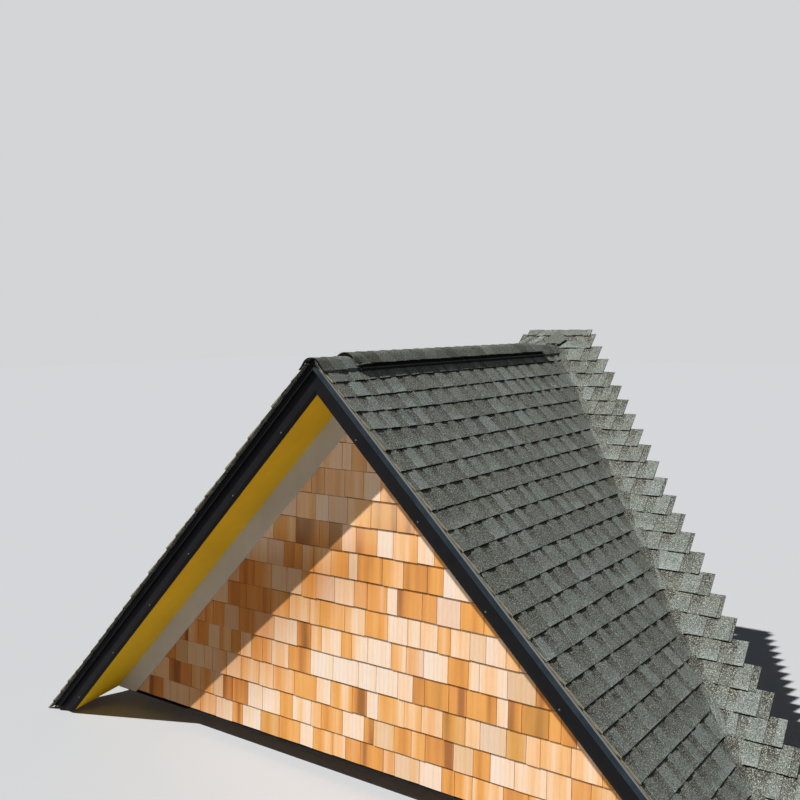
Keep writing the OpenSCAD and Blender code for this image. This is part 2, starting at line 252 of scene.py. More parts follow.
def attribute(tree, name):
    """A value that was stored on a piece's points."""
    return put(tree, "ShaderNodeAttribute", attribute_name=name, give="Fac")


def new_finish(name):
    """An empty material, with its tree and its shader."""
    material = bpy.data.materials.new(name)
    material.use_nodes = True
    tree = material.node_tree
    return material, tree, tree.nodes["Principled BSDF"]


def give_finish(tree, shader, colour, roughness, mirror=0.5):
    """Feeds the shader its colour and roughness, and sets how strongly it mirrors."""
    feed(tree, shader.inputs["Base Color"], colour)
    feed(tree, shader.inputs["Roughness"], roughness)
    shader.inputs["Specular IOR Level"].default_value = mirror


def raise_surface(tree, shader, height, depth):
    """Feeds a height, in metres, to the shader's normal."""
    feed(tree, shader.inputs["Normal"],
         put(tree, "ShaderNodeBump", {"Height": height, "Distance": depth,
                                      "Strength": 1.0}))


def shader_group(name, takes, gives):
    """A node group for an effect. Returns it with its inputs as wires, by name."""
    tree = bpy.data.node_groups.new(name, "ShaderNodeTree")
    kinds = {"value": "NodeSocketFloat", "vector": "NodeSocketVector"}
    for label, start in takes.items():
        kind = "vector" if start is None else "value"
        socket = tree.interface.new_socket(label, in_out="INPUT",
                                           socket_type=kinds[kind])
        if start is not None:
            socket.default_value = start
    for label in gives:
        tree.interface.new_socket(label, in_out="OUTPUT", socket_type=kinds["value"])
    inside = tree.nodes.new("NodeGroupInput")
    tree.nodes.new("NodeGroupOutput")
    return tree, {label: Wire(tree, inside.outputs[label]) for label in takes}


def give_out(tree, **values):
    for node in tree.nodes:
        if node.bl_idname == "NodeGroupOutput":
            for label, value in values.items():
                feed(tree, node.inputs[label], value)


def use_group(tree, group, feeds):
    """Places a node group and returns its first output."""
    node = tree.nodes.new("ShaderNodeGroup")
    node.node_tree = group
    for label, value in feeds.items():
        feed(tree, node.inputs[label], value)
    return Wire(tree, node.outputs[0])


# The grain of any wood here: growth rings cut lengthways, which bend a little, and
# fibres along the board. Its vector's Z runs along the board, in metres.
grain, grain_in = shader_group(
    "grain", {"Place": None, "Ring width": 0.012, "Waviness": 0.02, "Variety": 0.0},
    ("Rings", "Fibres"))
grain_x, grain_y, grain_z = grain_in["Place"].parts()
slow_place = vector(grain, grain_x * 6.0 + grain_in["Variety"] * 17.0, grain_y * 6.0,
                    grain_z * 1.3)
sway = noise(grain, slow_place, 1.0, 2.0) - 0.5
ring_place = ((grain_x + sway * grain_in["Waviness"] * 4.0) / grain_in["Ring width"]
              + grain_in["Variety"] * 9.0 + grain_y * 14.0)
ring_wave = ring_place.math("FRACT")
early = ring_wave.math("POWER", 3.0)
late = ring_wave.over(0.93, 1.0)
fibre_place = vector(grain, grain_x * 700.0, grain_y * 700.0, grain_z * 14.0)
fibres = noise(grain, fibre_place, 1.0, 3.0, 0.6)
give_out(grain, Rings=early - late, Fibres=fibres)


def place_along(tree, along):
    """Object coordinates, turned so that their Z runs along a board."""
    turn = Vector(along).rotation_difference(Vector((0, 0, 1))).to_euler()
    place = put(tree, "ShaderNodeTexCoord", give="Object")
    return put(tree, "ShaderNodeMapping", {"Vector": place, "Rotation": turn})


def timber(name, along):
    """Sawn softwood with its grain along a direction."""
    material, tree, shader = new_finish(name)
    place = place_along(tree, along)
    rings = use_group(tree, grain, {"Place": place, "Ring width": 0.011,
                                    "Waviness": 0.03, "Variety": 0.37})
    fibres = rings.out("Fibres")
    boards = noise(tree, place, 1.6, 1.0)
    spread = put(tree, "ShaderNodeTexVoronoi", {"Vector": put(
        tree, "ShaderNodeVectorMath", {0: place, 1: (2.6, 2.6, 0.9)},
        operation="MULTIPLY"), "Scale": 1.0})
    knot = spread.over(0.035, 0.06, 1.0, 0.0)
    light = blend(tree, boards, paint(226, 190, 140), paint(206, 164, 112))
    colour = blend(tree, rings * 0.55, light, paint(178, 126, 76))
    colour = blend(tree, fibres.over(0.35, 0.75) * 0.25, colour, paint(160, 116, 70))
    colour = blend(tree, knot, colour, paint(96, 56, 30))
    give_finish(tree, shader, colour, fibres.over(0.2, 0.8, 0.62, 0.82))
    raise_surface(tree, shader, fibres * 0.5 + rings * 0.5, 0.0006)
    return material


def dress(material, *names):
    """Gives CAD nodes their finish."""
    for name in names:
        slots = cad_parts[name].data.materials
        slots.clear()
        slots.append(material)


down_right = (1, 0, -1)
down_left = (-1, 0, -1)
dress(timber("stud_timber", (0, 0, 1)), "gable_studs")
dress(timber("plate_timber", (1, 0, 0)), "sole_plate")
dress(timber("ridge_timber", (0, 1, 0)), "ridge_board", "lookouts_left",
      "lookouts_right")
dress(timber("right_rafter_timber", down_right), "end_rafter_right",
      "jack_rafters_right", "barge_rafter_right")
dress(timber("left_rafter_timber", down_left), "end_rafter_left",
      "jack_rafters_left", "barge_rafter_left")
dress(timber("right_sleeper_timber", (1, -1, -1)), "valley_sleeper_right")
dress(timber("left_sleeper_timber", (-1, -1, -1)), "valley_sleeper_left")


# Strand board. The wall sheathing and the roof deck are panels of wood strands,
# pressed flat with resin and nailed over the framing; the strands lie every way.
material, tree, shader = new_finish("strand_board")
place = put(tree, "ShaderNodeTexCoord", give="Object")
colour = paint(196, 156, 104)
relief = None
for turn, stretch, share, dark in ((0.3, (9, 30, 9), 0.9, (150, 108, 62)),
                                   (1.2, (10, 26, 22), 0.6, (222, 188, 136)),
                                   (2.1, (24, 24, 8), 0.6, (174, 128, 78))):
    turned = put(tree, "ShaderNodeMapping", {"Vector": place, "Scale": stretch,
                                             "Rotation": (turn, turn * 0.7, turn)})
    strand = put(tree, "ShaderNodeTexVoronoi", {"Vector": turned, "Scale": 1.0},
                 give="Color")
    tone = put(tree, "ShaderNodeSeparateColor", first=strand)
    picked = tone.over(0.35, 0.9)
    colour = blend(tree, picked * share, colour, paint(*dark))
    relief = picked if relief is None else relief + picked
fine = noise(tree, place, 260.0, 3.0, 0.6)
colour = blend(tree, fine.over(0.3, 0.8) * 0.3, colour, paint(120, 84, 48))
give_finish(tree, shader, colour, relief.over(0.0, 2.0, 0.7, 0.9))
raise_surface(tree, shader, relief + fine * 0.5, 0.0005)
dress(material, "wall_sheathing", "roof_deck_left", "roof_deck_right")


# Building paper. A woven plastic wrap stapled over the sheathing, under the siding;
# it is seen only where the cedar and the frieze leave it bare.
material, tree, shader = new_finish("building_paper")
place = put(tree, "ShaderNodeTexCoord", give="Object")
x, y, z = place.parts()
threads = 2400.0
weave = ((x * threads).math("SINE") * (z * threads).math("SINE")).over(-1.0, 1.0)
creases = noise(tree, place, 7.0, 4.0, 0.6)
colour = blend(tree, creases, paint(214, 218, 222), paint(236, 238, 240))
give_finish(tree, shader, colour, weave.over(0.0, 1.0, 0.5, 0.62))
raise_surface(tree, shader, weave * 0.1 + creases, 0.002)
dress(material, "building_paper")


# Base flashing. A strip of black-painted sheet steel, bent in a brake, one leg up the
# wall under the paper and one out over the roof in front. The rake trim is the same
# metal: half gloss, a little wavy, with a film of dust on what faces up.
dust, dust_in = shader_group(
    "dust", {"Place": None, "Facing": None, "Spread": 0.5}, ("Cover",))
facing_up = dust_in["Facing"].parts()[2]
drift = noise(dust, dust_in["Place"], 9.0, 5.0, 0.65)
specks = noise(dust, dust_in["Place"], 160.0, 2.0, 0.7)
settled = facing_up.over(-0.2, 0.9, 0.25, 1.0)
give_out(dust, Cover=(drift.over(0.38, 0.75) + specks.over(0.62, 0.8) * 0.5)
         * settled * dust_in["Spread"])


def sheet_metal(name, colour, worn, rough, spread):
    """Painted sheet metal: its colour, the colour of its dust, and its gloss."""
    material, tree, shader = new_finish(name)
    coordinates = put(tree, "ShaderNodeTexCoord", give="Object")
    cover = use_group(tree, dust, {"Place": coordinates, "Spread": spread,
                                   "Facing": coordinates.out("Normal")})
    buckle = noise(tree, coordinates, 3.2, 2.0)
    give_finish(tree, shader, blend(tree, cover, colour, worn),
                cover.over(0.0, 0.7, rough, rough + 0.3), 0.04)
    raise_surface(tree, shader, buckle, 0.012)
    return material


black_metal = sheet_metal("black_sheet", paint(27, 27, 29), paint(60, 60, 60), 0.42,
                          0.22)
dress(black_metal, "base_flashing")


# Soffit. A smooth board nailed up under the lookouts and painted deep yellow; the
# brush left faint strokes along it.
def painted_board(name, along, colour, shade, rough):
    """A painted board with brush strokes along it and a grain that just shows."""
    material, tree, shader = new_finish(name)
    place = place_along(tree, along)
    strokes = noise(tree, put(tree, "ShaderNodeVectorMath",
                              {0: place, 1: (420.0, 420.0, 9.0)},
                              operation="MULTIPLY"), 1.0, 3.0, 0.6)
    grime = noise(tree, place, 2.3, 4.0, 0.6)
    rings = use_group(tree, grain, {"Place": place, "Ring width": 0.02,
                                    "Waviness": 0.05, "Variety": 0.11})
    colour = blend(tree, grime.over(0.35, 0.75), colour, shade)
    colour = blend(tree, strokes.over(0.5, 0.9) * 0.25, colour, shade)
    give_finish(tree, shader, colour,
                strokes.over(0.2, 0.8, rough, rough + 0.12), 0.2)
    raise_surface(tree, shader, strokes * 0.6 + rings * 0.4, 0.0004)
    return material


yellow = paint(227, 185, 24), paint(211, 169, 20)
dress(painted_board("soffit_paint_right", down_right, *yellow, 0.42), "soffit_right")
dress(painted_board("soffit_paint_left", down_left, *yellow, 0.42), "soffit_left")


# Frieze. Two primed boards painted off-white, nailed over the sheathing under the
# soffit and mitred at the peak; the cedar butts up to them.
off_white = paint(194, 190, 180), paint(180, 175, 165)
dress(painted_board("frieze_paint_right", down_right, *off_white, 0.5),
      "frieze_right")
dress(painted_board("frieze_paint_left", down_left, *off_white, 0.5), "frieze_left")


# Cedar shingles. Sawn red cedar, tapered from a 10 mm butt, of random widths with
# narrow joints, each in a tone of its own. Each level course is nailed over the
# joints of the one below and shows 178 mm; the lowest is cut to show about 160.
wall_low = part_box("cedar_siding")[0]
cedar_course = 0.178
cedar_face = wall_low.y
cedar_foot = wall_low.z
cedar_depth = 0.0185
cedar_butt = 0.010


class Growth:
    """A geometry tree whose sizes are named inputs."""

    kinds = {float: "NodeSocketFloat", int: "NodeSocketInt"}

    def __init__(self, name, sizes, finish):
        self.tree = bpy.data.node_groups.new(name, "GeometryNodeTree")
        face = self.tree.interface
        face.new_socket("Geometry", in_out="OUTPUT",
                        socket_type="NodeSocketGeometry")
        self.keys = {}
        for label, size in sizes.items():
            socket = face.new_socket(label, in_out="INPUT",
                                     socket_type=self.kinds[type(size)])
            socket.default_value = size
            self.keys[label] = socket.identifier
        self.inside = self.tree.nodes.new("NodeGroupInput")
        self.outside = self.tree.nodes.new("NodeGroupOutput")
        self.finish = finish

    def size(self, label):
        return Wire(self.tree, self.inside.outputs[label])

    def put(self, kind, feeds=None, **settings):
        return put(self.tree, kind, feeds, **settings)

    def chance(self, low, high, turn, number=None):
        """A random number for each element, the same for the same turn."""
        feeds = {2: low, 3: high, 8: turn}
        if number is not None:
            feeds[7] = number
        return self.put("FunctionNodeRandomValue", feeds, give=1, data_type="FLOAT")

    def draw(self, points, names, seed, number):
        """Keeps a random number from 0 to 1 on each point for each name."""
        for turn, name in enumerate(names, 2):
            points = self.store(points, name,
                                self.chance(0.0, 1.0, seed + float(turn), number))
        return points

    def store(self, geometry, name, value):
        """Keeps a value on each point, for later nodes and for the material."""
        return self.put("GeometryNodeStoreNamedAttribute",
                        {"Geometry": geometry, "Name": name, "Value": value},
                        data_type="FLOAT", domain="POINT")

    def kept(self, name):
        return self.put("GeometryNodeInputNamedAttribute", {"Name": name},
                        data_type="FLOAT")

    def drop(self, geometry, test):
        """Deletes the points where a test is above zero."""
        return self.put("GeometryNodeDeleteGeometry",
                        {"Geometry": geometry, "Selection": test}, domain="POINT")

    def slab(self, across, along):
        """A box from 0 to 1 on each axis, cut across its width and its length, that
        keeps its own x, y and z as u, v and w."""
        cube = self.put("GeometryNodeMeshCube",
                        {"Size": (1.0, 1.0, 1.0), "Vertices X": across,
                         "Vertices Y": along, "Vertices Z": 2})
        u, v, w = self.put("GeometryNodeInputPosition").parts()
        for name, value in (("u", u), ("v", v), ("w", w)):
            cube = self.store(cube, name, value + 0.5)
        return cube

    def spread(self, points, slab):
        """Sets a slab on each point and makes them one mesh."""
        laid = self.put("GeometryNodeInstanceOnPoints",
                        {"Points": points, "Instance": slab})
        return self.put("GeometryNodeRealizeInstances", first=laid)

    def end(self, geometry):
        """Shades the edges that turn less than half a radian smooth, paints the mesh
        and hands it out."""
        gentle = self.put("GeometryNodeInputMeshEdgeAngle").math("LESS_THAN", 0.5)
        geometry = self.put("GeometryNodeSetShadeSmooth",
                            {"Geometry": geometry, "Selection": True,
                             "Shade Smooth": gentle}, domain="EDGE")
        painted = self.put("GeometryNodeSetMaterial",
                           {"Geometry": geometry, "Material": self.finish})
        feed(self.tree, self.outside.inputs["Geometry"], painted)

    def grow(self, name, **sizes):
        """Runs the tree with these sizes and keeps the result as a plain mesh."""
        carrier = bpy.data.objects.new(name, bpy.data.meshes.new(name + "_blank"))
        scene.collection.objects.link(carrier)
        modifier = carrier.modifiers.new("growth", "NODES")
        modifier.node_group = self.tree
        for label, size in sizes.items():
            modifier[self.keys[label.replace("_", " ")]] = size
        ready = bpy.context.evaluated_depsgraph_get()
        mesh = bpy.data.meshes.new_from_object(
            carrier.evaluated_get(ready), preserve_all_data_layers=True,
            depsgraph=ready)
        carrier.modifiers.remove(modifier)
        carrier.data = mesh
        mesh.name = name
        return carrier


least_volume = 1e-8
micron = 1e-6


def flat_shells(work):
    """The points of the shells of a mesh that hold no volume."""
    flat, seen = [], set()
    for start in work.verts:
        if start in seen:
            continue
        seen.add(start)
        shell, ahead, volume = [], [start], 0.0
        while ahead:
            point = ahead.pop()
            shell.append(point)
            for edge in point.link_edges:
                other = edge.other_vert(point)
                if other not in seen:
                    seen.add(other)
                    ahead.append(other)
        for face in {face for point in shell for face in point.link_faces}:
            first, *others = [corner.co - start.co for corner in face.verts]
            for one, two in zip(others, others[1:]):
                volume += first.dot(one.cross(two))
        if abs(volume) / 6 < least_volume:
            flat += shell
    return flat


def trim(piece, *cuts):
    """Saws a piece along planes, (point, direction of the waste), closes each cut and
    sweeps up what has no volume."""
    work = bmesh.new()
    work.from_mesh(piece.data)
    for point, waste in cuts:
        everything = work.verts[:] + work.edges[:] + work.faces[:]
        bmesh.ops.bisect_plane(work, geom=everything, dist=micron, plane_co=point,
                               plane_no=waste, clear_outer=True)
        rim = [edge for edge in work.edges if edge.is_boundary]
        bmesh.ops.holes_fill(work, edges=rim, sides=0)
    bmesh.ops.delete(work, geom=flat_shells(work), context="VERTS")
    bmesh.ops.dissolve_degenerate(work, dist=micron, edges=work.edges[:])
    work.to_mesh(piece.data)
    work.free()


material, tree, shader = new_finish("cedar_wood")
place = put(tree, "ShaderNodeTexCoord", give="Object")
tone = attribute(tree, "tone")
hue = attribute(tree, "hue")
along_butt = attribute(tree, "u") * attribute(tree, "width")
height = place.parts()[2]
board = vector(tree, along_butt, hue * 3.0, height)
rings = use_group(tree, grain, {"Place": board, "Ring width": 0.035,
                                "Waviness": 0.012, "Variety": tone * 40.0})
fibres = rings.out("Fibres")
stripes = noise(tree, vector(tree, along_butt * 11.0 + tone * 90.0, hue * 31.0,
                             height * 0.5), 1.0, 1.0, 0.5)
stripe_place = (stripes - 0.5) * 1.05 + (tone - 0.5) * 0.85 + 0.5
colour = chart(tree, stripe_place, (0.0, paint(240, 222, 206)),
               (0.26, paint(243, 215, 188)), (0.4, paint(243, 203, 162)),
               (0.52, paint(239, 188, 134)), (0.64, paint(231, 170, 98)),
               (0.78, paint(226, 158, 82)), (0.9, paint(202, 138, 76)),
               (1.0, paint(150, 98, 52)))
colour = blend(tree, hue.over(0.78, 0.95) * 0.35, colour, paint(212, 140, 92))
colour = blend(tree, hue.over(0.04, 0.2, 1.0, 0.0) * 0.5, colour, paint(198, 150, 78))
colour = blend(tree, rings.over(0.2, 1.0) * 0.2, colour, paint(190, 124, 60))
colour = blend(tree, fibres.over(0.45, 0.8) * 0.25, colour, paint(150, 92, 42))
# painted light: high up the wood is blended paler, a painted glow of bounced light, and
# low on the left, below the rake, it is darker, a painted shade
colour = blend(tree, height.over(1.4, 1.7, 0.0, 0.35), colour, paint(243, 212, 178))
from_rake = place.parts()[0] - height
painted_shade = from_rake.over(-1.6, -1.0, 0.9, 0.0) * height.over(1.25, 1.5, 1.0, 0.0)
colour = blend(tree, painted_shade, colour,
               blend(tree, 1.0, colour, paint(214, 190, 158), "MULTIPLY"))
# painted shadow: a dark brown band on each shingle just under the butt of the course above
painted_butt_shadow = attribute(tree, "to next").over(0.005, 0.009, 1.0, 0.0)
colour = blend(tree, painted_butt_shadow * 0.8, colour, paint(88, 50, 22))
give_finish(tree, shader, colour, fibres.over(0.2, 0.8, 0.6, 0.8), 0.2)
raise_surface(tree, shader, fibres + rings * 0.4, 0.0007)
cedar = material

siding = Growth("cedar_siding_courses", {
    "Course": cedar_course, "Courses": 13, "Per course": 44, "First short": 0.017,
    "Narrow": 0.075, "Wide": 0.215, "Joint": 0.0035, "Length": 0.385,
    "Butt": cedar_butt, "Slip": 0.005, "Lean": 0.004, "Cup": 0.006,
    "Head": 0.0172, "Depth": cedar_depth, "Half wall": 2.95, "Seed": 7}, cedar)
per_course = siding.size("Per course")
number = siding.put("GeometryNodeInputIndex")
course = (number / per_course).math("FLOOR")
seed = siding.size("Seed")
points = siding.put("GeometryNodePoints", {"Count": per_course
                                           * siding.size("Courses")})
points = siding.store(points, "course", course)
width = siding.chance(siding.size("Narrow"), siding.size("Wide"), seed)
points = siding.store(points, "width", width)
left = siding.put("GeometryNodeAccumulateField",
                  {"Value": siding.kept("width"), "Group ID": siding.kept("course")},
                  give="Trailing")
left = left - siding.size("Half wall") - siding.chance(0.0, 0.3, seed + 1.0, course)
points = siding.store(points, "left", left)
points = siding.draw(points, ("tone", "hue", "slip", "lean"), seed, number)
next_butt = ((siding.kept("course") + 1.0) * siding.size("Course")
             - siding.size("First short"))
height_of_course = (next_butt - siding.size("Course")).math("MAXIMUM", 0.0)
room_left = siding.size("Half wall") - height_of_course
middle = (siding.kept("left") + siding.kept("width") * 0.5).math("ABSOLUTE")
points = siding.drop(points, middle.math("GREATER_THAN", room_left))
shingle_mesh = siding.spread(points, siding.slab(3, 4))
u, v, w = siding.kept("u"), siding.kept("v"), siding.kept("w")
slip = (siding.kept("slip") - 0.5) * siding.size("Slip")
up = v * siding.size("Length")
lean = (siding.kept("lean") - 0.5) * siding.size("Lean")
x = (siding.kept("left") + siding.size("Joint") * 0.5
     + u * (siding.kept("width") - siding.size("Joint")))
butt_drop = slip + lean * (u - 0.5)
shingle_mesh = siding.store(shingle_mesh, "to next", next_butt - height_of_course - up)
z = height_of_course + up + butt_drop * (1.0 - v)
front = siding.size("Butt") * up / siding.size("Course")
front = front.math("MINIMUM", siding.size("Head"))
thick = siding.size("Butt") * (1.0 - v * 0.75)
cup = ((u - 0.5) * (u - 0.5) * (siding.kept("lean") - 0.4) * siding.size("Cup")
       * (1.0 - v))
behind = (front + thick).math("MINIMUM", siding.size("Depth") - 0.0003)
y = front + (behind - front) * w + cup.math("MAXIMUM", 0.0)
shingle_mesh = siding.put(
    "GeometryNodeSetPosition",
    {"Geometry": shingle_mesh, "Position": vector(siding.tree, x, y, z)})
siding.end(siding.put("GeometryNodeFlipFaces", {"Mesh": shingle_mesh}))
wall_shingles = siding.grow("cedar_shingles")
wall_shingles.data.transform(Matrix.Translation((0.0, cedar_face, cedar_foot)))
frieze_edge = Vector((0.0, 0.0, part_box("cedar_siding")[1].z))
trim(wall_shingles, (frieze_edge, Vector((1, 0, 1))), (frieze_edge, Vector((-1, 0, 1))))
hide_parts("cedar_siding")
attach(wall_shingles, "root")


# Fascia. A board wrapped in black-painted sheet on each rake, its lower edge turned
# back under the soffit. Painted nails hold the wrap every 600 mm or so, low on the
# face, and their heads have scuffed pale.
dress(black_metal, "fascia_left", "fascia_right")
# the cosine of the pitch, and at 45 degrees its sine too
slope = math.cos(math.radians(45))
cover = 0.011
deck_thick = 0.011
nose = 0.020
peak = Vector((0.0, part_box("shingles_right")[0].y + nose,
               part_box("fascia_right")[1].z + (cover + deck_thick) / slope))

material, tree, shader = new_finish("nail_head")
scuffs = noise(tree, put(tree, "ShaderNodeTexCoord", give="Object"), 900.0, 2.0)
colour = blend(tree, scuffs.over(0.35, 0.65), paint(120, 120, 122),
               paint(62, 62, 64))
give_finish(tree, shader, colour, scuffs.over(0.3, 0.7, 0.3, 0.6))

nails = Growth("fascia_nail_row", {
    "Count": 6, "First": 0.55, "Spacing": 0.62, "Play": 0.02, "Below butts": 0.14,
    "Head": 0.011, "Side": 1.0, "Seed": 3}, material)
nail_s = (nails.size("First") + nails.put("GeometryNodeInputIndex")
          * nails.size("Spacing") + nails.chance(0.0, 1.0, nails.size("Seed"))
          * nails.size("Play"))
nail_h = nails.size("Below butts") * -1.0
points = nails.put("GeometryNodePoints", {
    "Count": nails.size("Count"),
    "Position": vector(nails.tree, (nail_s + nail_h) * slope * nails.size("Side"),
                       0.0, (nail_h - nail_s) * slope)})
dome = nails.put("GeometryNodeMeshUVSphere", {"Segments": 12, "Rings": 6,
                                              "Radius": nails.size("Head") * 0.5})
dome = nails.put("GeometryNodeTransform", {"Geometry": dome,
                                           "Scale": (1.0, 0.4, 1.0)})
nails.end(nails.spread(points, dome))
for name, side, seed in (("fascia_nails_right", 1.0, 3),
                         ("fascia_nails_left", -1.0, 8)):
    row = nails.grow(name, Side=side, Seed=seed)
    row.data.transform(Matrix.Translation((0.0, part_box("fascia_right")[0].y, peak.z)))
    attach(row, "root")


# Drip edge. Bent sheet on the edge of the deck, nailed under the shingles: a face of
# metal and a foot kicked out from the fascia, both rakes painted dark. On the right-hand
# one the upright face is painted pale silver, a painted highlight where its gloss catches
# the light; the left-hand one, whose face lies in shade, keeps the dark paint.
material = sheet_metal("drip_edge_painted_sheen", paint(40, 49, 56), paint(84, 94, 100), 0.3,
                       0.35)
tree = material.node_tree
shader = tree.nodes["Principled BSDF"]
coordinates = put(tree, "ShaderNodeTexCoord", give="Object")
upright = (coordinates.out("Normal").parts()[1] * -1.0).over(0.86, 0.94)
streaks = noise(tree, coordinates, 240.0, 2.0, 0.6)
# painted highlight: the upright face of the right-hand drip edge is coloured pale silver
painted_sheen = blend(tree, streaks, paint(136, 138, 136), paint(112, 116, 116))
painted = Wire(tree, shader.inputs["Base Color"].links[0].from_socket)
feed(tree, shader.inputs["Base Color"], blend(tree, upright, painted, painted_sheen))
dress(material, "drip_edge_right")
dress(sheet_metal("drip_edge_paint", paint(24, 24, 26), paint(70, 72, 72), 0.3, 0.2),
      "drip_edge_left")


# Roof shingles. Each is a mat soaked in asphalt and faced with mineral granules, with
# random tabs laminated onto it, so that every butt is jagged. Courses show 143 mm,
# are nailed to the deck, and carry on round the valley onto the steep roof.
ridge_run = 3.175
low_slope = 1 / 3
break_run, break_drop = 0.510, 2.66896
low_point = Vector((0.0, peak.y + break_run, peak.z - break_drop))
# two courses lie above the first one that shows a butt below the caps
first_course = 2.0
cut_skin = 0.0012

material, tree, shader = new_finish("granule_shingle")
coordinates = put(tree, "ShaderNodeTexCoord", give="Object")
tone = attribute(tree, "tone")
hue = attribute(tree, "hue")
inner = attribute(tree, "inner")
up = attribute(tree, "up")
painted_shadow_lip = attribute(tree, "painted_shadow_lip")
aged = attribute(tree, "aged")
granules = put(tree, "ShaderNodeTexVoronoi", {"Vector": coordinates, "Scale": 300.0},
               give="Color")
granule = put(tree, "ShaderNodeSeparateColor", first=granules)
clumps = noise(tree, coordinates, 120.0, 3.0, 0.75)
painted_glints = noise(tree, coordinates, 150.0, 2.0, 0.6)
cloud = noise(tree, coordinates, 4.0, 3.0, 0.55)
tab = chart(tree, tone, (0.0, paint(113, 121, 116)), (0.3, paint(99, 105, 99)),
            (0.55, paint(91, 95, 87)), (0.75, paint(108, 116, 111)),
            (1.0, paint(129, 139, 137)))
tab = blend(tree, up.over(0.3, 0.8, 0.0, 0.5) * hue.over(0.45, 0.8), tab,
            paint(80, 76, 65))
pale_foot = up.over(0.1, 0.5, 0.75, 0.0) * hue.over(0.0, 0.34, 1.0, 0.0)
tab = blend(tree, pale_foot, tab, paint(154, 165, 163))
under = chart(tree, hue, (0.0, paint(97, 101, 94)), (0.5, paint(86, 88, 80)),
              (1.0, paint(103, 108, 102)))
under = blend(tree, up.over(0.1, 0.35, 0.7, 0.0) * hue.over(0.66, 1.0), under,
              paint(146, 158, 156))
shade_band = up.over(0.36, 0.6, 0.0, 0.95) * cloud.over(0.3, 0.5, 0.7, 1.0)
under = blend(tree, shade_band, under, paint(54, 48, 38))
colour = blend(tree, inner, tab, under)
colour = blend(tree, cloud.over(0.45, 0.75) * 0.25, colour, paint(118, 112, 98))
colour = blend(tree, granule.over(0.5, 1.0) * 0.5, colour, paint(168, 172, 165))
colour = blend(tree, clumps.over(0.38, 0.5, 1.0, 0.0) * 0.85, colour,
               paint(32, 32, 29))
# painted highlight: pale specks standing in for the granules glinting
colour = blend(tree, painted_glints.over(0.54, 0.64) * 0.7, colour, paint(198, 202, 192))
worn_down = blend(tree, 1.0, colour, paint(190, 186, 178), "MULTIPLY")
colour = blend(tree, aged, colour, worn_down)
# painted shadow: the bevelled butts are painted near black, the dark asphalt edge widened
# into the shadow line under each butt
colour = blend(tree, painted_shadow_lip.over(0.02, 0.1), colour, paint(8, 8, 9))
cut = (coordinates.parts()[1] - peak.y).math("LESS_THAN", cut_skin - nose)
cut_top = cut * attribute(tree, "w").over(0.4, 0.6)
colour = blend(tree, cut, colour, paint(11, 11, 11))
colour = blend(tree, cut_top * (1.0 - aged.over(0.0, 0.5)), colour,
               paint(176, 160, 130))
give_finish(tree, shader, colour, granule.over(0.0, 1.0, 0.8, 0.97), 0.12)
raise_surface(tree, shader, granule * 0.6 + clumps, 0.0022)
roof_shingle = material

roofing = Growth("roof_shingle_courses", {
    "Ridge run": ridge_run, "Course": 0.143, "First butt": 0.215, "Cover": cover,
    "Butt": 0.007, "Laminate": 0.0045, "Over valley": 0.3, "Above ridge": 0.15,
    "Half width": 2.98, "Curve": 0.055, "Courses": 30, "Per course": 52,
    "Strips": 12, "Lap": 0.030, "Tab narrow": 0.055, "Tab wide": 0.135,
    "Gap narrow": 0.045, "Gap wide": 0.10, "Top": 0.068, "Bevel": 0.0065,
    "Stray": 0.035, "Stray course": 4.6, "Top sag": 0.026, "Slip": 0.003,
    "Rise": 0.0008, "Nose": nose, "Edge rise": 0.010, "Side": 1.0, "Seed": 11},
    roof_shingle)
half = roofing.size
valley_reach = half("Ridge run") + half("Over valley") + half("Course") * (2 * slope)


def course_points(count, widths, extra_turn):
    """Points for one layer of the courses, with where each starts and how wide it
    is."""
    number = roofing.put("GeometryNodeInputIndex")
    course = (number / count).math("FLOOR")
    seed = half("Seed") * 20.0 + extra_turn
    points = roofing.put("GeometryNodePoints", {"Count": count * half("Courses")})
    points = roofing.store(points, "course", course)
    points = roofing.store(points, "width", widths(number, seed))
    points = roofing.store(points, "gap", number.math("MODULO", 2.0))
    start = roofing.put("GeometryNodeAccumulateField",
                        {"Value": roofing.kept("width"),
                         "Group ID": roofing.kept("course")}, give="Trailing")
    start = start - half("Nose") - roofing.chance(0.02, 0.3, seed + 1.0, course)
    points = roofing.store(points, "start", start)
    points = roofing.draw(points, ("tone", "hue", "slip", "lift"), seed, number)
    courses_down = roofing.kept("course") - first_course
    butt_s = half("First butt") + courses_down * half("Course")
    points = roofing.store(points, "butt s", butt_s)
    reach = valley_reach - roofing.kept("butt s") * slope
    points = roofing.drop(points, (roofing.kept("start") - reach)
                          .math("GREATER_THAN", 0.0))
    past = roofing.kept("start") + roofing.kept("width") + half("Nose")
    points = roofing.drop(points, past.math("LESS_THAN", 0.001))
    return points


def on_roof(t, s, h):
    """The place of a point that is t back from the front edge, s down the slope and
    h over it. Past the valley it is on the steep roof, and the bend is rounded."""
    tree = roofing.tree
    down = s.math("MAXIMUM", 0.0) * slope
    valley = half("Ridge run") - s * slope
    curve = (s * 0.6).math("MAXIMUM", 0.001).math("MINIMUM", half("Curve"))
    turn = ((t - valley + curve) / (curve * 2.0)).math("MAXIMUM", 0.0)
    turn = turn.math("MINIMUM", 1.0)
    past = (t - valley - curve).math("MAXIMUM", 0.0)
    x = down + curve * turn * turn + past
    y = t.math("MINIMUM", valley - curve) + curve * turn * (2.0 - turn)
    z = s * -slope
    rest = 1.0 - turn
    length = (turn * turn + rest * rest + 1.0).math("SQRT")
    x = x + h * rest / length
    y = y - h * turn / length
    z = z + h / length
    # the two slopes' normals are (1, 0, 1) and (0, -1, 1), before they are scaled
    return vector(tree, x * half("Side"), y, z)


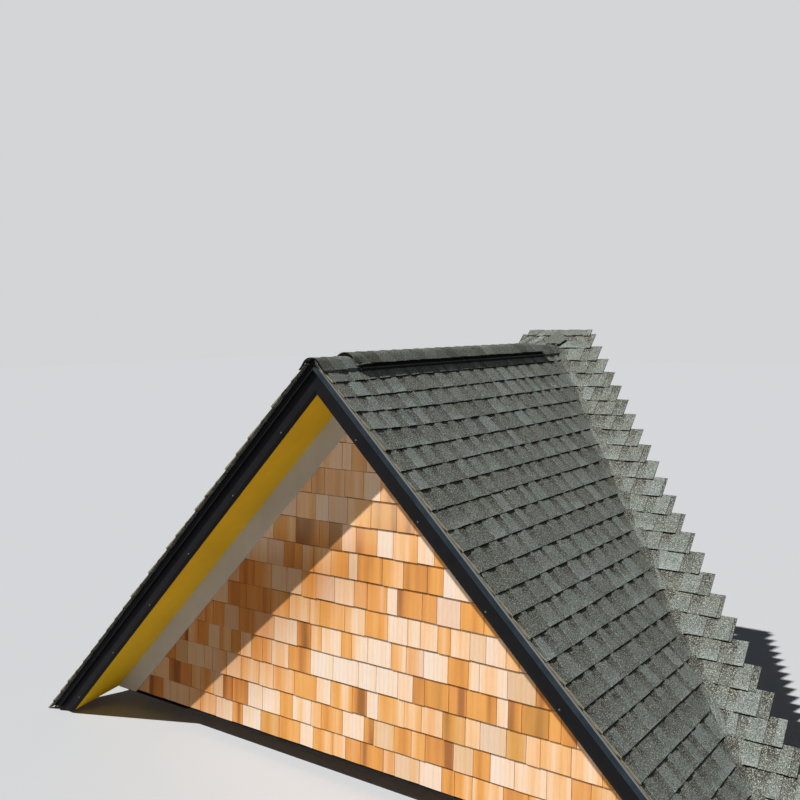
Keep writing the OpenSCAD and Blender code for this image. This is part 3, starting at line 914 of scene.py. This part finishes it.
def laid(points, across, along, top_at_butt, top_at_head, bottom_at_butt,
         bottom_at_head, joint, bevel):
    """Slabs on the points, bent round the roof, with the butt cut to a bevel that is
    painted near black, a painted shadow line.
    """
    mesh = roofing.spread(points, roofing.slab(across, along))
    butt_s, start = roofing.kept("butt s"), roofing.kept("start")
    course = roofing.kept("course")
    row = roofing.kept("v") * (along - 1.0)
    length = half("Course") + half("Lap")
    v = (row.math("MINIMUM", 1.0) * (bevel / length)
         + (row - 1.0).math("MAXIMUM", 0.0) * (1.0 - bevel / length) / (along - 2.0))
    mesh = roofing.store(mesh, "up", v)
    # the lip row marks the bevel, which the finish paints near black as a painted shadow
    mesh = roofing.store(mesh, "painted_shadow_lip", (1.0 - row).math("MAXIMUM", 0.0))
    u, w = roofing.kept("u"), roofing.kept("w")
    v, painted_shadow_lip = roofing.kept("up"), roofing.kept("painted_shadow_lip")
    begin = start + joint
    close = start + roofing.kept("width") - joint
    t = begin + u * (close - begin)
    # near the front the courses stray a little from straight, most at one height
    row_gap = (course - half("Stray course")) / 1.5
    stray = (half("Stray") * (row_gap * row_gap * -1.0).math("EXPONENT")
             * (t.math("MAXIMUM", 0.0) / -0.5).math("EXPONENT"))
    from_top = (course - first_course) / 1.1
    stray = stray - (half("Top sag") * (from_top * from_top * -1.0).math("EXPONENT")
                     * (t.math("MAXIMUM", 0.0) / -1.4).math("EXPONENT"))
    slip = (roofing.kept("slip") - 0.5) * half("Slip")
    s = butt_s - stray + slip * (1.0 - v) - v * length
    on_gable = (half("Ridge run") - half("Curve") - t).math("GREATER_THAN", 0.0)
    head = on_gable * (half("Above ridge") + half("Top")) - half("Above ridge")
    s = s.math("MAXIMUM", head)
    valley = half("Ridge run") - s * slope
    over_ridge = s.math("LESS_THAN", 0.0)
    first_t = (valley + half("Nose")) * over_ridge - half("Nose")
    last_x = (butt_s.math("MAXIMUM", 0.0) * slope
              + half("Over valley")).math("MINIMUM", half("Half width"))
    last_t = valley + last_x - s.math("MAXIMUM", 0.0) * slope
    # past the valley a shingle's sides run up the steep roof, not along the gable's
    rise = (butt_s - s) * (2 * slope)
    past = ((t - half("Ridge run") + butt_s * slope)
            / half("Curve") * 0.5 + 0.5)
    swing = rise * past.math("MAXIMUM", 0.0).math("MINIMUM", 1.0)
    swing = swing * butt_s.math("GREATER_THAN", 0.1)
    begin = (begin + swing).math("MAXIMUM", first_t).math("MINIMUM", last_t - 0.002)
    close = (close + swing).math("MAXIMUM", begin + 0.002).math("MINIMUM", last_t)
    t = begin + u * (close - begin)
    top = top_at_butt + (top_at_head - top_at_butt) * v
    top = top + roofing.kept("lift") * half("Rise") * (1.0 - v)
    bottom = bottom_at_butt + (bottom_at_head - bottom_at_butt) * v
    top = top.math("MAXIMUM", bottom + 0.0005)
    top = top - painted_shadow_lip * (top - bottom - 0.0012)
    h = bottom + (top - bottom) * w
    edge = ((t + half("Nose")) / -0.06).math("EXPONENT") * s.over(0.1, 0.25)
    h = h + half("Edge rise") * edge * (h / half("Cover") * 0.5 + 1.0)
    return roofing.put("GeometryNodeSetPosition",
                       {"Geometry": mesh, "Position": on_roof(t, s, h)})


def strip_widths(number, seed):
    return roofing.chance(0.30, 0.36, seed, number)


def tab_widths(number, seed):
    tab = roofing.chance(half("Tab narrow"), half("Tab wide"), seed, number)
    gap = roofing.chance(half("Gap narrow"), half("Gap wide"), seed, number)
    odd = number.math("MODULO", 2.0)
    return tab + (gap - tab) * odd


deck_side = half("Cover") * -1.0
side_joint = 0.0004
strips = course_points(half("Strips"), strip_widths, 0.0)
strips = roofing.store(strips, "inner", 1.0)
strips = laid(strips, 9, 4, half("Laminate") * -1.0, half("Cover") * -1.07,
              deck_side + 0.0001, deck_side + 0.0001, side_joint, half("Bevel"))
tabs = course_points(half("Per course"), tab_widths, 9.0)
tabs = roofing.store(tabs, "inner", 0.0)
tabs = roofing.drop(tabs, roofing.kept("gap"))
tabs = laid(tabs, 5, 4, 0.0, half("Butt") * -1.09, half("Laminate") * -1.2,
            half("Cover") * -0.95, side_joint, half("Bevel"))
both = roofing.put("GeometryNodeJoinGeometry")
for layer in (strips, tabs):
    roofing.tree.links.new(layer.socket, both.socket.node.inputs[0])
turned = roofing.put("GeometryNodeFlipFaces",
                     {"Mesh": both, "Selection": half("Side").math("LESS_THAN", 0.0)})
roofing.end(turned)
for name, side, seed in (("roof_shingles_right", 1.0, 11),
                         ("roof_shingles_left", -1.0, 12)):
    courses = roofing.grow(name, Side=side, Seed=seed)
    courses.data.transform(Matrix.Translation(peak))
    trim(courses, (low_point, Vector((0, low_slope, -1))))
    hand = name.rsplit("_")[-1]
    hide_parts("shingles_" + hand, "valley_weave_" + hand)
    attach(courses, "root")


# Ridge vent. Two lengths of black moulded plastic screwed over a slot in the deck;
# air leaves between the fins along each side, behind a low baffle.
material, tree, shader = new_finish("vent_plastic")
place = put(tree, "ShaderNodeTexCoord", give="Object")
pebble = noise(tree, place, 700.0, 2.0, 0.6)
cover_share = use_group(tree, dust, {"Place": place, "Spread": 0.3,
                                     "Facing": place.out("Normal")})
colour = blend(tree, cover_share, paint(12, 12, 13), paint(84, 82, 78))
give_finish(tree, shader, colour, pebble.over(0.3, 0.7, 0.42, 0.6), 0.2)
raise_surface(tree, shader, pebble, 0.0004)
dress(material, "ridge_vent_front", "ridge_vent_rear")


# Ridge caps. Single shingles cut in three and bent over the ridge, each nailed under
# the butt of the next: three in front of the vent, a run on it and four behind it.
# The first one on the vent starts before it and its wings are pressed down.
vent_first, vent_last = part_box("ridge_vent_front"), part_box("ridge_vent_rear")
vent_start = vent_first[0].y - peak.y
vent_end = vent_last[1].y - peak.y
cap_bend = 0.068
cap_thick = 0.0045
caps = Growth("ridge_cap_run", {
    "Count": 3, "From": 0.0, "To": 1.0, "Height": 0.0, "Bend": cap_bend, "Wing": 0.14,
    "Thickness": cap_thick, "Lift": 0.006, "Lap": 0.03, "Droop": 0.0, "Aside": 0.006,
    "Skew": 0.02, "Seed": 21}, roof_shingle)
cap = caps.size
number = caps.put("GeometryNodeInputIndex")
points = caps.put("GeometryNodePoints", {"Count": cap("Count")})
step = (cap("To") - cap("From")) / cap("Count")
points = caps.store(points, "at", cap("From") + number * step)
points = caps.store(points, "first", number.math("LESS_THAN", 0.5))
seed = cap("Seed") * 20.0
points = caps.draw(points, ("tone", "hue", "slip", "lean"), seed, number)
points = caps.store(points, "inner", 0.0)
points = caps.store(points, "painted_shadow_lip", 0.0)
points = caps.store(points, "aged", caps.chance(0.35, 1.0, seed + 6.0, number))
mesh = caps.spread(points, caps.slab(21, 4))
u, v, w = caps.kept("u"), caps.kept("v"), caps.kept("w")
quarter = math.pi / 4
half_across = cap("Bend") * quarter + cap("Wing") - cap("Bend") + cap("Height")
across = (u * 2.0 - 1.0) * half_across + (caps.kept("slip") - 0.5) * cap("Aside")
angle = (across / cap("Bend")).math("MAXIMUM", -quarter).math("MINIMUM", quarter)
rest = across - angle * cap("Bend")
droop = caps.kept("first") * cap("Droop") * (1.0 - v).math("POWER", 1.5)
pressed = rest.math("ABSOLUTE").over(0.0, 0.04) * droop
radius = (cap("Bend") + cap("Lift") * (1.0 - v) + cap("Thickness") * w - pressed)
middle_z = (cap("Height") - cap("Bend")) / slope
x = radius * angle.math("SINE") + rest * angle.math("COSINE")
z = middle_z + radius * angle.math("COSINE") - rest * angle.math("SINE")
y = (caps.kept("at") + v * (step + cap("Lap"))
     + (caps.kept("lean") - 0.5) * cap("Skew") * (u - 0.5)).math("MINIMUM", cap("To"))
mesh = caps.put("GeometryNodeSetPosition", {"Geometry": mesh,
                                            "Position": vector(caps.tree, x, y, z)})
caps.end(mesh)
vent_lift, vent_wing = 0.022, 0.1227
cap_ahead, vent_overlap = 0.006, 0.02
caps_end = 3.235
for name, node, sizes in (
        ("ridge_caps_before_vent", "ridge_caps_front",
         dict(Count=3, From=-nose - cap_ahead, To=vent_start, Droop=0.006, Seed=21)),
        ("ridge_caps_over_vent", "ridge_caps_on_vent",
         dict(Count=19, From=vent_start - vent_overlap, To=vent_end, Height=vent_lift,
              Bend=cap_bend + vent_lift, Wing=vent_wing, Droop=0.02, Seed=22)),
        ("ridge_caps_behind_vent", "ridge_caps_rear",
         dict(Count=4, From=vent_end, To=caps_end, Seed=23))):
    run = caps.grow(name, **sizes)
    run.data.transform(Matrix.Translation(peak))
    if node == "ridge_caps_rear":
        steep_point = peak + Vector((0.0, ridge_run, 0.002))
        trim(run, (steep_point, Vector((0, 1, -1))))
    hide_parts(node)
    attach(run, "root")


# Saddle cap. The last cap is a square turned on its corner: its lower half is bent
# over the ridge, its upper half is turned up onto the steep roof and nailed there.
saddle_side, saddle_reach = 0.11, 0.097
saddle_bend = cap_bend + 0.012
saddle_crease, saddle_lift, saddle_rest = 0.015, 0.013, 0.006
round_end = saddle_bend * slope
cells = 14
saddle = bmesh.new()
sheets = []
for under_side in (0.0, cap_thick / slope):
    sheet = []
    for i in range(cells + 1):
        for j in range(cells + 1):
            x = saddle_side * (i - j) / cells
            y = ridge_run + saddle_reach * (i + j - cells) / cells
            if abs(x) < round_end:
                over_ridge = math.sqrt(saddle_bend * saddle_bend - x * x)
            else:
                over_ridge = round_end - (abs(x) - round_end)
            over_ridge -= cap_bend / slope
            on_steep = y - ridge_run + saddle_rest / slope
            gap = over_ridge - on_steep
            z = (over_ridge + on_steep + math.hypot(gap, saddle_crease)) / 2
            # only its lower edges stand off, and not where it crosses the ridge
            lift = saddle_lift * max(0.0, 1.0 - 3.0 * min(i, j) / cells)
            lift *= min(1.0, abs(i - j) / 5)
            sheet.append(saddle.verts.new((x, y, z + lift - under_side)))
    sheets.append(sheet)
top, bottom = sheets
wide = cells + 1
for i in range(cells):
    for j in range(cells):
        a = i * wide + j
        saddle.faces.new([top[k] for k in (a, a + wide, a + wide + 1, a + 1)])
        saddle.faces.new([bottom[k] for k in (a, a + 1, a + wide + 1, a + wide)])
rim = ([i * wide for i in range(wide)] + [cells * wide + j for j in range(1, wide)]
       + [i * wide + cells for i in range(cells - 1, -1, -1)]
       + [j for j in range(cells - 1, 0, -1)])
for a, b in zip(rim, rim[1:] + rim[:1]):
    saddle.faces.new([top[b], top[a], bottom[a], bottom[b]])
saddle_mesh = bpy.data.meshes.new("saddle_cap")
saddle.to_mesh(saddle_mesh)
saddle.free()
saddle_mesh.transform(Matrix.Translation(peak))
saddle_mesh.materials.append(roof_shingle)
# the bottom sheet is marked so that the rim is painted near black, a painted shadow under
# its raised edges
for label, amount in (("tone", 0.45), ("aged", 1.0), ("w", 0.0), ("painted_shadow_lip", 1.0)):
    layer = saddle_mesh.attributes.new(label, "FLOAT", "POINT")
    for number, point in enumerate(layer.data):
        if label != "painted_shadow_lip" or number >= wide * wide:
            point.value = amount
saddle_cap = bpy.data.objects.new("saddle_cap", saddle_mesh)
scene.collection.objects.link(saddle_cap)
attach(saddle_cap, "root")
